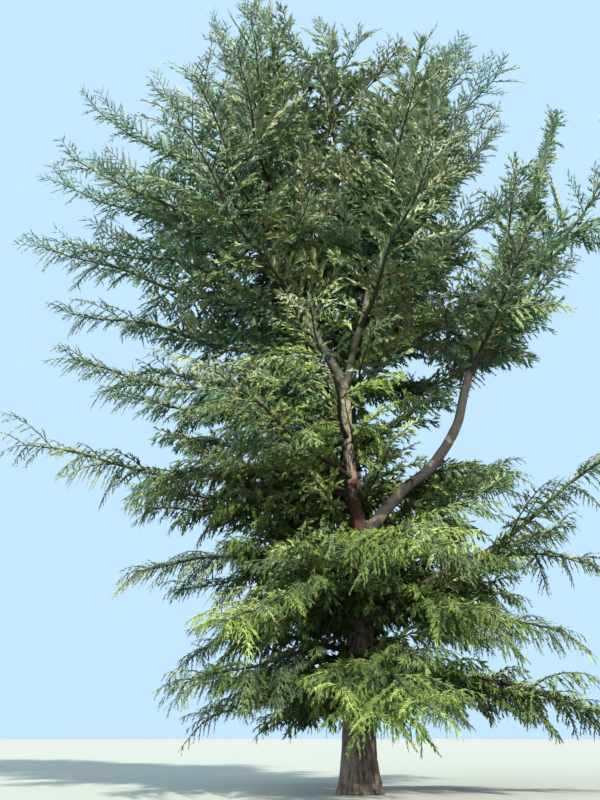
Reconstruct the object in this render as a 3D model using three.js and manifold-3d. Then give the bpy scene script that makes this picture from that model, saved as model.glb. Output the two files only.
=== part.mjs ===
// A mature cedar tree: a fluted trunk that forks, three leaders and a long cranked limb,
// main boughs, and masses of foliage that each grow round one stem of their own.
// Millimetres, +Z up. East is +X, north is +Y. The origin is the middle of the flat cut at ground level.
import * as THREE from "three";
import { mergeVertices } from "three/addons/utils/BufferGeometryUtils.js";
import Module from "manifold-3d";

const wasm = await Module();
wasm.setup();

// Driving dimensions
const CLEAR = 0.3; // gap between two pieces that touch
const SHORTEST = 0.05; // detail smaller than this is left out
const SEED = 2417; // every random choice of the tree follows from this
const FLARE = { ridges: 7, swell: 0.3, fall: 560, depth: 0.1 }; // root flare over the trunk's own radius
const TRUNK_SIDES = 24;
const LIMB_SIDES = 7;
const BOUGH_SIDES = 6;

// Stations of the woody stems from foot to tip: east, north, height, radius. A stem may take a span of a
// longer route, as the cranked east limb does, which is split at its bend.
const LIMB_EAST = [
  [150, -60, 6950, 190],
  [1430, -160, 8420, 172],
  [2380, -190, 9200, 160],
  [3230, -160, 10470, 148],
  [3630, -90, 11810, 132],
  [4080, 0, 12900, 116],
  [5300, 160, 14600, 88],
];
const STEMS = {
  trunk: {
    steps: 11,
    stations: [
      [0, 0, 0, 500],
      [0, 0, 1300, 465],
      [60, 0, 2700, 430],
      [100, 0, 4100, 385],
      [190, 0, 5500, 300],
      [215, 0, 6900, 222],
      [20, 0, 8300, 190],
      [-150, 0, 10200, 172],
      [-200, 0, 12000, 158],
    ],
  },
  leader_west: {
    steps: 9,
    stations: [
      [-150, 0, 11900, 120],
      [-640, -60, 13000, 116],
      [-1480, -100, 14440, 104],
      [-2230, -60, 16200, 92],
      [-2630, 0, 17940, 80],
      [-2680, 60, 21500, 54],
      [-2640, 40, 25400, 26],
    ],
  },
  leader_east: {
    steps: 8,
    stations: [
      [-170, 0, 11950, 112],
      [120, -60, 13300, 108],
      [520, -100, 14750, 98],
      [920, -60, 17020, 84],
      [1480, 0, 19500, 64],
      [2130, 60, 22400, 42],
      [2580, 40, 24300, 24],
    ],
  },
  leader_north: {
    steps: 9,
    stations: [
      [120, 60, 5300, 215],
      [120, 620, 7300, 190],
      [60, 1350, 10400, 162],
      [-160, 1800, 14500, 126],
      [-330, 1700, 19000, 86],
      [-440, 1300, 23200, 50],
      [-480, 1100, 25300, 30],
    ],
  },
  limb_east_lower: { steps: 5, stations: LIMB_EAST, span: [0, 0.5] },
  limb_east_upper: { steps: 5, stations: LIMB_EAST, span: [0.5, 1] },
};

// Tiers of boughs. Each bough leaves a stem at a height and goes out by a reach and up by a rise, which are
// given towards east, north, west and south. A tier's boughs start at a turn (degrees from east) and spread
// over the whole round, or over its sweep. bow is how far a bough arches, and wood the share of it that is a
// bare limb of its own. spread is the length of its longest twigs, and hang how far they droop. A tip goes on
// from its stem's end.
const TIERS = [
  { name: "skirt", stem: "trunk", height: 3600, count: 5, turn: -4,
    reach: [9200, 8200, 5800, 6300], rise: [-1700, -1500, -1200, -1300],
    bow: 150, wood: 0, spread: 3000, hang: 0.4 },
  { name: "low", stem: "trunk", height: 5100, count: 4, turn: -32,
    reach: [6200, 8400, 5500, 6700], rise: [-700, -900, -800, -1500],
    bow: 350, wood: 0, spread: 3100, hang: 0.35 },
  { name: "rising", stem: "trunk", height: 4300, count: 1, turn: 2,
    reach: [9800, 0, 0, 0], rise: [6500, 0, 0, 0],
    bow: 0, wood: 0.42, spread: 3000, hang: 0.3 },
  { name: "waist", stem: "trunk", height: 6600, count: 4, turn: 14,
    reach: [7400, 9200, 6400, 7300], rise: [300, 0, -400, -1500],
    bow: 300, wood: 0, spread: 3200, hang: 0.35 },
  { name: "middle", stem: "trunk", height: 8700, count: 4, turn: 30, sweep: 218,
    reach: [5200, 9600, 11200, 6900], rise: [1700, 1700, 1800, 700],
    bow: -100, wood: 0.24, spread: 3200, hang: 0.3 },
  { name: "shoulder", stem: "trunk", height: 10500, count: 3, turn: 96, sweep: 170,
    reach: [0, 9300, 9300, 7000], rise: [0, 2400, 2300, 1500],
    bow: -100, wood: 0, spread: 3100, hang: 0.2 },
  { name: "west_flat", stem: "leader_west", height: 13000, count: 1, turn: 180,
    reach: [0, 0, 9100, 0], rise: [0, 0, 2000, 0],
    bow: -150, wood: 0.3, spread: 2700, hang: 0.25 },
  { name: "west_far", stem: "leader_west", height: 14800, count: 2, turn: 177, sweep: 65,
    reach: [0, 6500, 9400, 6200], rise: [0, 3600, 3000, 3000],
    bow: -200, wood: 0, spread: 3100, hang: 0.1 },
  { name: "west_high", stem: "leader_west", height: 17200, count: 2, turn: 172, sweep: 80,
    reach: [0, 5500, 8300, 5000], rise: [0, 4200, 3900, 2700],
    bow: -300, wood: 0, spread: 2900, hang: 0 },
  { name: "west_shoulder", stem: "leader_west", height: 19300, count: 2, turn: 180, sweep: 78,
    reach: [0, 5000, 6600, 4200], rise: [0, 4300, 4700, 2500],
    bow: -350, wood: 0, spread: 2600, hang: -0.1 },
  { name: "west_top", stem: "leader_west", height: 21800, count: 2, turn: 168, sweep: 90,
    reach: [0, 3400, 3100, 3000], rise: [0, 3400, 3700, 2500],
    bow: -200, wood: 0, spread: 2200, hang: -0.2 },
  { name: "west_crest", stem: "leader_west", height: 24000, count: 1, turn: 190,
    reach: [0, 0, 2200, 2200], rise: [0, 0, 2500, 2500],
    bow: -200, wood: 0, spread: 1750, hang: -0.2 },
  { name: "west_tip", stem: "leader_west", height: 25400, count: 1, turn: 160,
    reach: [250, 250, 250, 250], rise: [2400, 2400, 2400, 2400],
    bow: 0, wood: 0, spread: 1550, hang: -0.3, tip: true },
  { name: "east_low", stem: "leader_east", height: 14300, count: 2, turn: -72, sweep: 62,
    reach: [5200, 0, 0, 6200], rise: [4000, 0, 0, 3000],
    bow: -200, wood: 0, spread: 2900, hang: 0 },
  { name: "east_mid", stem: "leader_east", height: 17200, count: 2, turn: -80, sweep: 85,
    reach: [4300, 4300, 0, 4800], rise: [4100, 4100, 0, 3200],
    bow: -250, wood: 0, spread: 2600, hang: -0.1 },
  { name: "east_high", stem: "leader_east", height: 20000, count: 1, turn: -22,
    reach: [4300, 0, 0, 3600], rise: [3200, 0, 0, 2500],
    bow: -200, wood: 0, spread: 2200, hang: -0.2 },
  { name: "east_top", stem: "leader_east", height: 22400, count: 1, turn: 8,
    reach: [2400, 2400, 0, 0], rise: [3000, 3000, 0, 0],
    bow: -150, wood: 0, spread: 1900, hang: -0.2 },
  { name: "east_tip", stem: "leader_east", height: 24300, count: 1, turn: 0,
    reach: [380, 380, 380, 380], rise: [1500, 1500, 1500, 1500],
    bow: 0, wood: 0, spread: 1450, hang: -0.3, tip: true },
  { name: "north_low", stem: "leader_north", height: 12400, count: 2, turn: 38, sweep: 84,
    reach: [7000, 7900, 7500, 0], rise: [3400, 3200, 3200, 0],
    bow: -150, wood: 0, spread: 3100, hang: 0.1 },
  { name: "north_mid", stem: "leader_north", height: 17000, count: 1, turn: 98,
    reach: [6400, 6400, 6400, 0], rise: [4000, 3900, 3900, 0],
    bow: -200, wood: 0, spread: 3200, hang: 0 },
  { name: "north_high", stem: "leader_north", height: 21000, count: 1, turn: 85,
    reach: [3900, 4000, 4000, 0], rise: [3600, 3600, 3600, 0],
    bow: -200, wood: 0, spread: 2200, hang: -0.1 },
  { name: "north_tip", stem: "leader_north", height: 25300, count: 1, turn: 90,
    reach: [150, 150, 150, 150], rise: [2300, 2300, 2300, 2300],
    bow: 0, wood: 0, spread: 1750, hang: -0.3, tip: true },
  { name: "limb_side", stem: "limb_east_upper", height: 12700, count: 2, turn: -64, sweep: 134,
    reach: [3700, 4400, 0, 3500], rise: [3600, 3000, 0, 3500],
    bow: -150, wood: 0, spread: 2600, hang: 0.1 },
  { name: "limb_comb", stem: "limb_east_upper", height: 13700, count: 1, turn: -6,
    reach: [2700, 0, 0, 2700], rise: [7900, 0, 0, 7900],
    bow: -100, wood: 0, spread: 1900, hang: -0.1 },
  { name: "limb_tip", stem: "limb_east_upper", height: 14600, count: 1, turn: 6,
    reach: [4700, 4700, 0, 0], rise: [6900, 6900, 0, 0],
    bow: -300, wood: 0, spread: 2900, hang: 0, tip: true },
];

// Neighbours in a tier leave its stem by turns above and below its height, each a little off its place.
const STAGGER = { height: 260, height_by: 60, turn_by: 5, reach_by: 0.05 };
const BOUGH = { radius: 26, taper: 0.0088, tip: 7, fullness: 0.8 }; // root radius by its length, tip radius

// Foliage rule: how twigs leave a bough's stem and carry their sprays
const TWIG_PITCH = 1250; // length of stem for each twig
const TWIG_MOST = 6;
const TWIG_FIRST = 0.22; // share of the bough before its first twig
const TWIG_LAST = 0.9;
const TWIG_ANGLE = [66, 38]; // degrees from the stem, at its foot and at its tip
const TWIG_BARE = 0.2; // share of a twig before its spray
const TWIG_SLOPE = 0.5; // how far twigs rise and fall at random
const TWIG_HANG = 0.6; // how far a bough's hang turns them down
const TWIG = { radius: 14, taper: 0.01 }; // at its foot: a least radius and a share of its length
const TWIG_SIZES = [1, 0.85, 0.7, 0.55, 0.4]; // tried in turn until one keeps to its space
const STEM_END = 0.9; // share of a bough where its stem ends in the last spray
const LOWEST = 900; // foliage keeps this far from the ground
const SPRAY = { sunk: 0.1, width: 0.62, thick: 0.02 }; // shares of the spray's length
const SPACE_MARGIN = 60; // a spray stays this much nearer to its own stem than to the next
const MATERIALS = {
  bark: new THREE.MeshStandardMaterial({ color: 0x6b5a4c, roughness: 0.95, metalness: 0 }),
  needles: new THREE.MeshStandardMaterial({ color: 0x4d6631, roughness: 0.8, metalness: 0 }),
};

const rad = THREE.MathUtils.degToRad;
const lerp = THREE.MathUtils.lerp;
const UP = new THREE.Vector3(0, 0, 1);

// A number from 0 to 1 that depends only on a seed and an index.
function chance(seed, index) {
  let h = Math.imul(seed ^ Math.imul(index + 1, 0x9e3779b1), 0x85ebca6b) >>> 0;
  h ^= h >>> 13;
  h = Math.imul(h, 0xc2b2ae35) >>> 0;
  h ^= h >>> 16;
  return (h >>> 0) / 4294967296;
}

// The same, spread evenly from low to high.
function between(seed, index, low, high) {
  return low + (high - low) * chance(seed, index);
}

// A closed manifold solid from a three.js geometry.
function solidOf(geometry) {
  geometry.deleteAttribute("normal");
  geometry.deleteAttribute("uv");
  const merged = mergeVertices(geometry, 1e-3);
  return new wasm.Manifold(
    new wasm.Mesh({
      numProp: 3,
      vertProperties: new Float32Array(merged.attributes.position.array),
      triVerts: new Uint32Array(merged.index.array),
    }),
  );
}

// A three.js geometry from a manifold solid.
function geometryOf(solid) {
  const mesh = solid.getMesh();
  const geometry = new THREE.BufferGeometry();
  geometry.setAttribute("position", new THREE.BufferAttribute(mesh.vertProperties, 3));
  geometry.setIndex(new THREE.BufferAttribute(mesh.triVerts, 1));
  geometry.computeVertexNormals();
  return geometry;
}

// Directions along and across a row of rings, without a twist from one to the next.
function ringFrames(rings) {
  let across = null;
  return rings.map((ring, i) => {
    const before = rings[Math.max(0, i - 1)].at;
    const after = rings[Math.min(rings.length - 1, i + 1)].at;
    const along = (ring.along ?? after.clone().sub(before)).clone().normalize();
    if (!across) across = Math.abs(along.x) < 0.8 ? new THREE.Vector3(1, 0, 0) : new THREE.Vector3(0, 1, 0);
    across = across.clone().addScaledVector(along, -across.dot(along)).normalize();
    return { along, across, aside: new THREE.Vector3().crossVectors(across, along) };
  });
}

// A bar through rings, each a place, a radius and, where it matters, the way it faces. It has a flat cap at
// each end, or a point at its far end. swell(height, angle) widens it, and grow is an allowance all round.
function bentBar(rings, { sides, grow = 0, pointed = false, swell = () => 1 }) {
  const steps = rings.length - 1;
  const bar = new THREE.CylinderGeometry(pointed ? 0 : 1, 1, 1, sides, steps);
  const frames = ringFrames(rings);
  const at = bar.attributes.position;
  for (let i = 0; i < at.count; i++) {
    const step = Math.round((at.getY(i) + 0.5) * steps);
    const { along, across, aside } = frames[step];
    const ring = rings[step];
    const angle = Math.atan2(at.getZ(i), at.getX(i));
    const onRim = Math.hypot(at.getX(i), at.getZ(i)) > 1e-6;
    const out = onRim ? ring.radius * swell(ring.at.z, angle) + grow : 0;
    const end = step === 0 ? -grow : step === steps ? grow : 0;
    const place = ring.at
      .clone()
      .addScaledVector(across, out * Math.cos(angle))
      .addScaledVector(aside, out * Math.sin(angle))
      .addScaledVector(along, end);
    at.setXYZ(i, place.x, place.y, place.z);
  }
  return solidOf(bar);
}

// Stems

// The place of a stem's middle line at a share of its own span.
function stemRoute({ stations, span = [0, 1] }) {
  const points = stations.map(([x, y, z]) => new THREE.Vector3(x, y, z));
  const route = new THREE.CatmullRomCurve3(points, false, "catmullrom", 0.5);
  return (share) => route.getPoint(THREE.MathUtils.clamp(lerp(span[0], span[1], share), 0, 1));
}

// Radius of a stem at a height, straight between its stations.
function stemRadius(stem, height) {
  const s = stem.stations;
  const k = Math.max(1, s.findIndex((row, i) => row[2] > height || i === s.length - 1));
  const part = THREE.MathUtils.clamp((height - s[k - 1][2]) / (s[k][2] - s[k - 1][2]), 0, 1);
  return lerp(s[k - 1][3], s[k][3], part);
}

// The root flare: the trunk swells towards the ground, in ridges that run into the roots.
function flare(height, angle) {
  const near = Math.exp(-height / FLARE.fall);
  return 1 + near * (FLARE.swell + FLARE.depth * Math.cos(FLARE.ridges * angle + 0.6));
}

// A stem as a solid, grown by an allowance all round.
function stemSolid(name, grow = 0) {
  const stem = STEMS[name];
  const route = stemRoute(stem);
  const rings = Array.from({ length: stem.steps + 1 }, (_, k) => {
    const share = k / stem.steps;
    const at = route(share);
    return { at, radius: stemRadius(stem, at.z), along: route(share + 1e-3).sub(route(share - 1e-3)) };
  });
  if (name !== "trunk") return bentBar(rings, { sides: LIMB_SIDES, grow });
  rings[0].along = UP;
  return bentBar(rings, { sides: TRUNK_SIDES, grow, swell: flare });
}

// The place of a stem's middle line at a height.
function stemPoint(name, height) {
  const route = stemRoute(STEMS[name]);
  let low = 0;
  let high = 1;
  for (let k = 0; k < 30; k++) {
    const half = (low + high) / 2;
    if (route(half).z < height) low = half;
    else high = half;
  }
  return route(low);
}

// Boughs

// A value that a tier gives towards east, north, west and south, at an azimuth in radians.
function towards([east, north, west, south], azimuth) {
  const c = Math.cos(azimuth);
  const s = Math.sin(azimuth);
  return (c > 0 ? east : west) * c * c + (s > 0 ? north : south) * s * s;
}

// Every bough of the tree: where it leaves, how it runs and how wide its foliage is.
function allBoughs() {
  const boughs = [];
  TIERS.forEach((tier, row) => {
    for (let k = 0; k < tier.count; k++) {
      const seed = SEED + 97 * row + 13 * k;
      const spacing = tier.sweep === undefined ? 360 / tier.count : tier.sweep / Math.max(1, tier.count - 1);
      const off = (index, by) => (tier.count > 1 ? between(seed, index, -by, by) : 0);
      const stagger = tier.count > 1 ? (k % 2 ? STAGGER.height : -STAGGER.height) : 0;
      const height = tier.height + stagger + off(2, STAGGER.height_by);
      const azimuth = rad(tier.turn + spacing * k + off(1, STAGGER.turn_by));
      const reach = towards(tier.reach, azimuth) * (1 + off(3, STAGGER.reach_by));
      const rise = towards(tier.rise, azimuth);
      const length = Math.hypot(reach, rise);
      boughs.push({
        ...tier,
        name: tier.count > 1 ? tier.name + "_" + (k + 1) : tier.name,
        seed,
        azimuth,
        root: stemPoint(tier.stem, height),
        reach,
        rise,
        length,
        thick: tier.tip ? stemRadius(STEMS[tier.stem], height) : BOUGH.radius + length * BOUGH.taper,
      });
    }
  });
  return boughs;
}

// A point of a bough's middle line, from its root at 0 to its tip at 1.
function boughPoint(bough, t) {
  const arch = 4 * t * (1 - t);
  return new THREE.Vector3(
    bough.root.x + Math.cos(bough.azimuth) * bough.reach * t,
    bough.root.y + Math.sin(bough.azimuth) * bough.reach * t,
    bough.root.z + bough.rise * t + bough.bow * arch,
  );
}

// Its radius there: a long taper that ends in a twig.
function boughRadius(bough, t) {
  return bough.thick * (1 - t) ** BOUGH.fullness + BOUGH.tip;
}

// A bar through a bough's middle line at a row of shares.
function boughBar(bough, shares, form) {
  const rings = shares.map((t) => ({
    at: boughPoint(bough, t),
    radius: boughRadius(bough, t),
    along: boughPoint(bough, t + 1e-3).sub(boughPoint(bough, t - 1e-3)),
  }));
  return bentBar(rings, form);
}

// The shares of a bough at which its leafy stem has a ring.
function stemShares(bough) {
  const start = bough.wood > 0 ? bough.wood + CLEAR / bough.length : 0;
  return [start, ...[0.25, 0.5, 0.75].filter((t) => t > start + 0.08), STEM_END];
}

// The place on that stem's straight stretches at a share.
function stemAxis(bough, t) {
  const shares = stemShares(bough);
  const k = Math.max(1, shares.findIndex((share, i) => share > t || i === shares.length - 1));
  const part = (t - shares[k - 1]) / (shares[k] - shares[k - 1]);
  return boughPoint(bough, shares[k - 1]).lerp(boughPoint(bough, shares[k]), part);
}

// Foliage

// The share of a bough at which twig k of n leaves it.
function twigPlace(bough, k, n) {
  const first = Math.max(TWIG_FIRST, bough.wood + 0.05, bough.tip ? 0.12 : 0);
  return lerp(first, TWIG_LAST, n > 1 ? k / (n - 1) : 0.5);
}

// Twig k of a bough's n: its root, its heading and its length.
function twigOf(bough, k, n) {
  const seed = bough.seed + 1009 * (k + 1);
  const t = twigPlace(bough, k, n);
  const side = k % 2 ? 1 : -1;
  const ahead = boughPoint(bough, t + 0.01).sub(boughPoint(bough, t)).normalize();
  const angle = rad(lerp(TWIG_ANGLE[0], TWIG_ANGLE[1], t) + between(seed, 1, -8, 8));
  const level = new THREE.Vector3().crossVectors(UP, ahead);
  if (level.length() < 0.25) level.set(0, 1, 0);
  level.normalize();
  if (bough.tip) level.applyAxisAngle(ahead, 1.25 * k);
  const heading = ahead.clone().multiplyScalar(Math.cos(angle));
  heading.addScaledVector(level, side * Math.sin(angle));
  heading.z += between(seed, 2, -TWIG_SLOPE, TWIG_SLOPE) - bough.hang * TWIG_HANG;
  heading.normalize();
  const profile = Math.min(1, 0.55 + 1.3 * t) * (1 - 0.66 * t ** 4);
  const length = bough.spread * profile * between(seed, 3, 0.88, 1.14);
  const flat = UP.clone().applyAxisAngle(heading, side * between(seed, 4, 0.2, 1.2));
  return { root: stemAxis(bough, t), heading, length, flat };
}

// A spray of needles as a toothed blade: half its outline, along its length and across its width.
const BLADE_HALF = [
  [0, 0],
  [0.45, 0.5],
  [0.56, 0.17],
  [0.82, 0.4],
  [1, 0],
];

function blade(root, heading, flat, length, width) {
  const teeth = 2 * (BLADE_HALF.length - 1);
  const leaf = new THREE.SphereGeometry(1, teeth, 2);
  const across = new THREE.Vector3().crossVectors(flat, heading).normalize();
  const thick = new THREE.Vector3().crossVectors(heading, across).normalize();
  const at = leaf.attributes.position;
  for (let i = 0; i < at.count; i++) {
    const pole = Math.abs(at.getY(i)) > 0.5;
    const turn = Math.round((Math.atan2(at.getZ(i), at.getX(i)) / (2 * Math.PI)) * teeth);
    const [along, wide] = pole ? [0.5, 0] : BLADE_HALF[Math.abs(turn)];
    const place = root
      .clone()
      .addScaledVector(heading, along * length)
      .addScaledVector(across, Math.sign(turn) * wide * width)
      .addScaledVector(thick, pole ? Math.sign(at.getY(i)) * SPRAY.thick * length : 0);
    at.setXYZ(i, place.x, place.y, place.z);
  }
  return solidOf(leaf);
}

// Distance from a point to a bough's middle line.
function distanceTo(bough, point) {
  const nearest = new THREE.Vector3();
  const gaps = bough.samples.slice(1).map((sample, k) => {
    new THREE.Line3(bough.samples[k], sample).closestPointToPoint(point, true, nearest);
    return nearest.distanceTo(point);
  });
  return Math.min(...gaps);
}

// Whether a point lies in a bough's own space: nearer to its middle line than to any other bough's.
function inSpace(bough, boughs, point) {
  const own = distanceTo(bough, point) + SPACE_MARGIN;
  return point.z > LOWEST && boughs.every((other) => other === bough || distanceTo(other, point) > own);
}

// A twig with its spray, or nothing where it would leave the space or touch a limb.
function twigWithSpray(bough, boughs, twig, limbs) {
  for (const size of TWIG_SIZES) {
    const length = twig.length * size;
    const place = (s) => twig.root.clone().addScaledVector(twig.heading, s * length);
    const long = length * (1 - TWIG_BARE);
    const wide = SPRAY.width * long;
    const across = new THREE.Vector3().crossVectors(twig.flat, twig.heading).setLength(wide / 2);
    const middle = place(TWIG_BARE + BLADE_HALF[1][0] * (1 - TWIG_BARE));
    const corners = [middle.clone().add(across), middle.clone().sub(across), place(0.8), place(1)];
    if (!corners.every((corner) => inSpace(bough, boughs, corner))) continue;
    const rings = [
      { at: twig.root, radius: TWIG.radius + length * TWIG.taper },
      { at: place(TWIG_BARE + SPRAY.sunk), radius: 0 },
    ];
    const made = [
      bentBar(rings, { sides: 3, pointed: true }),
      blade(place(TWIG_BARE), twig.heading, twig.flat, long, wide),
    ];
    if (made.every((piece) => limbs.every((limb) => limb.intersect(piece).isEmpty()))) return made;
  }
  return [];
}

// One mass of foliage: its stem, its twigs and their sprays, fused.
function massSolid(bough, boughs, limbs) {
  const parts = [boughBar(bough, stemShares(bough), { sides: 4, pointed: true })];
  const leafy = bough.length * (1 - Math.max(TWIG_FIRST, bough.wood));
  const n = THREE.MathUtils.clamp(Math.round(leafy / TWIG_PITCH), 4, TWIG_MOST);
  for (let k = 0; k < n; k++) parts.push(...twigWithSpray(bough, boughs, twigOf(bough, k, n), limbs));
  const root = stemAxis(bough, STEM_END - 0.07);
  const heading = boughPoint(bough, 1).sub(root);
  const length = heading.length() * 1.02;
  heading.normalize();
  const flat = Math.abs(heading.z) > 0.9 ? new THREE.Vector3(0, 1, 0) : UP;
  parts.push(blade(root, heading, flat, length, length * SPRAY.width * 1.2));
  const fused = clearStems.reduce((left, host) => left.subtract(host), wasm.Manifold.union(parts));
  return largest(fused.simplify(SHORTEST));
}

// The tree

const tree = new THREE.Group();

function addPiece(name, solid, material) {
  const mesh = new THREE.Mesh(geometryOf(solid), material.clone());
  mesh.name = name;
  tree.add(mesh);
}

// The largest body of a solid, without loose scrap.
function largest(solid) {
  return solid.decompose().reduce((big, one) => (one.volume() > big.volume() ? one : big));
}

// Each stem gives way to those before it, 0.3 mm clear.
const clearStems = [];
for (const name of Object.keys(STEMS)) {
  const solid = clearStems.reduce((left, host) => left.subtract(host), stemSolid(name));
  addPiece(name, largest(solid), MATERIALS.bark);
  clearStems.push(stemSolid(name, CLEAR));
}

const boughs = allBoughs();
for (const bough of boughs) {
  bough.samples = Array.from({ length: 13 }, (_, k) => boughPoint(bough, k / 12));
}

// The bare limbs, up to where their boughs enter the foliage.
const clearWoods = new Map();
for (const bough of boughs.filter((b) => b.wood > 0)) {
  const shares = [0, 1 / 3, 2 / 3, 1].map((part) => part * bough.wood);
  const bare = boughBar(bough, shares, { sides: BOUGH_SIDES });
  const solid = clearStems.reduce((left, host) => left.subtract(host), bare);
  addPiece("bough_" + bough.name, largest(solid), MATERIALS.bark);
  clearWoods.set(bough, boughBar(bough, shares, { sides: BOUGH_SIDES, grow: CLEAR }));
}

for (const bough of boughs) {
  const otherWoods = [...clearWoods.keys()].filter((other) => other !== bough);
  const limbs = [...clearStems, ...otherWoods.map((other) => clearWoods.get(other))];
  addPiece("mass_" + bough.name, massSolid(bough, boughs, limbs), MATERIALS.needles);
}

export default tree;
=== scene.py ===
"""Cedar tree: bark, boughs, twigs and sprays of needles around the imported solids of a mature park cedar.

Metres, +Z up, east is +X and north is +Y, as in the solids. The tree is grown again by the solids' own
seeded rule, which is carried on here to finer twigs, shoots and needles.
"""
import math
from collections import namedtuple
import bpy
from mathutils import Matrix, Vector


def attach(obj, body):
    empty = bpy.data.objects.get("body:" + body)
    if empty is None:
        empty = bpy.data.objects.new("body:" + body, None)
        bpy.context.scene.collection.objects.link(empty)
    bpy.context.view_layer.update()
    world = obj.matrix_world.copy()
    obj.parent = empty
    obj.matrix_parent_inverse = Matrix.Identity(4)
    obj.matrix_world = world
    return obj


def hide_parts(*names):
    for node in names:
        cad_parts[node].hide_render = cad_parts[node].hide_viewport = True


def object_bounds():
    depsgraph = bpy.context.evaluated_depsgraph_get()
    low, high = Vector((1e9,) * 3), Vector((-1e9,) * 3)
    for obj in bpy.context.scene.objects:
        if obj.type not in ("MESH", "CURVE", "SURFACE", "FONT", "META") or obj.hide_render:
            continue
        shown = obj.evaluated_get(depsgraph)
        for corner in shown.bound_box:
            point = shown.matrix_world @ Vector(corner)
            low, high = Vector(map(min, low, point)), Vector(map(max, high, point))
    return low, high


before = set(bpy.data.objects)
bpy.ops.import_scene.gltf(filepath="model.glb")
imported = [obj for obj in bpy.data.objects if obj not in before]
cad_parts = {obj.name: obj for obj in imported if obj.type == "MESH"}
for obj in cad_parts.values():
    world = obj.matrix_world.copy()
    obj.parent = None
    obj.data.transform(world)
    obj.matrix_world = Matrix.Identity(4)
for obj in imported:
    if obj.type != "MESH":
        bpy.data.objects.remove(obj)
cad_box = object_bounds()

from types import SimpleNamespace as Form

import bpy
import numpy as np
from bpy.props import FloatProperty, FloatVectorProperty, PointerProperty
from mathutils import Vector

bl_info = {
    "name": "Cedar Tree",
    "version": (1, 0, 0),
    "blender": (4, 5, 0),
    "location": "View3D > Sidebar > Cedar",
    "description": "Dresses the solids of a mature cedar in bark, twigs and sprays of needles",
    "category": "Object",
}

# The grown form, as in the solids. Stations of a stem: east, north, height, radius.
LIMB_EAST = [
    (0.15, -0.06, 6.95, 0.19),
    (1.43, -0.16, 8.42, 0.172),
    (2.38, -0.19, 9.2, 0.16),
    (3.23, -0.16, 10.47, 0.148),
    (3.63, -0.09, 11.81, 0.132),
    (4.08, 0, 12.9, 0.116),
    (5.3, 0.16, 14.6, 0.088),
]
STEMS = {
    "trunk": [
        (0, 0, 0, 0.5),
        (0, 0, 1.3, 0.465),
        (0.06, 0, 2.7, 0.43),
        (0.1, 0, 4.1, 0.385),
        (0.19, 0, 5.5, 0.3),
        (0.215, 0, 6.9, 0.222),
        (0.02, 0, 8.3, 0.19),
        (-0.15, 0, 10.2, 0.172),
        (-0.2, 0, 12, 0.158),
    ],
    "leader_west": [
        (-0.15, 0, 11.9, 0.12),
        (-0.64, -0.06, 13, 0.116),
        (-1.48, -0.1, 14.44, 0.104),
        (-2.23, -0.06, 16.2, 0.092),
        (-2.63, 0, 17.94, 0.08),
        (-2.68, 0.06, 21.5, 0.054),
        (-2.64, 0.04, 25.4, 0.026),
    ],
    "leader_east": [
        (-0.17, 0, 11.95, 0.112),
        (0.12, -0.06, 13.3, 0.108),
        (0.52, -0.1, 14.75, 0.098),
        (0.92, -0.06, 17.02, 0.084),
        (1.48, 0, 19.5, 0.064),
        (2.13, 0.06, 22.4, 0.042),
        (2.58, 0.04, 24.3, 0.024),
    ],
    "leader_north": [
        (0.12, 0.06, 5.3, 0.215),
        (0.12, 0.62, 7.3, 0.19),
        (0.06, 1.35, 10.4, 0.162),
        (-0.16, 1.8, 14.5, 0.126),
        (-0.33, 1.7, 19, 0.086),
        (-0.44, 1.3, 23.2, 0.05),
        (-0.48, 1.1, 25.3, 0.03),
    ],
    "limb_east_lower": LIMB_EAST,
    "limb_east_upper": LIMB_EAST,
}
SPANS = {"limb_east_lower": (0, 0.5), "limb_east_upper": (0.5, 1)}
FLARE = Form(ridges=7, turn=0.6, swell=0.3, fall=0.56, depth=0.1)

SEED = 2417
# How far the seeds of each kind of growth start from their parent's, and the step from one to the next
SEEDS = {
    "tier": (0, 97), "stem": (0, 17), "bough": (0, 13), "lesser_bough": (50021, 61),
    "twig": (0, 1009), "twig_between": (0, 211), "end_twig": (5003, 401), "side_twig": (0, 7919),
    "spray": (30011, 577), "shoot": (60013, 389),
}
NEEDLE_SEEDS = 31  # what a twig's seed is multiplied by for its needles
NOISE = Form(wobble=5, light=11, tint=13, bark=21)  # seeds of the noise that each of these takes

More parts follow.
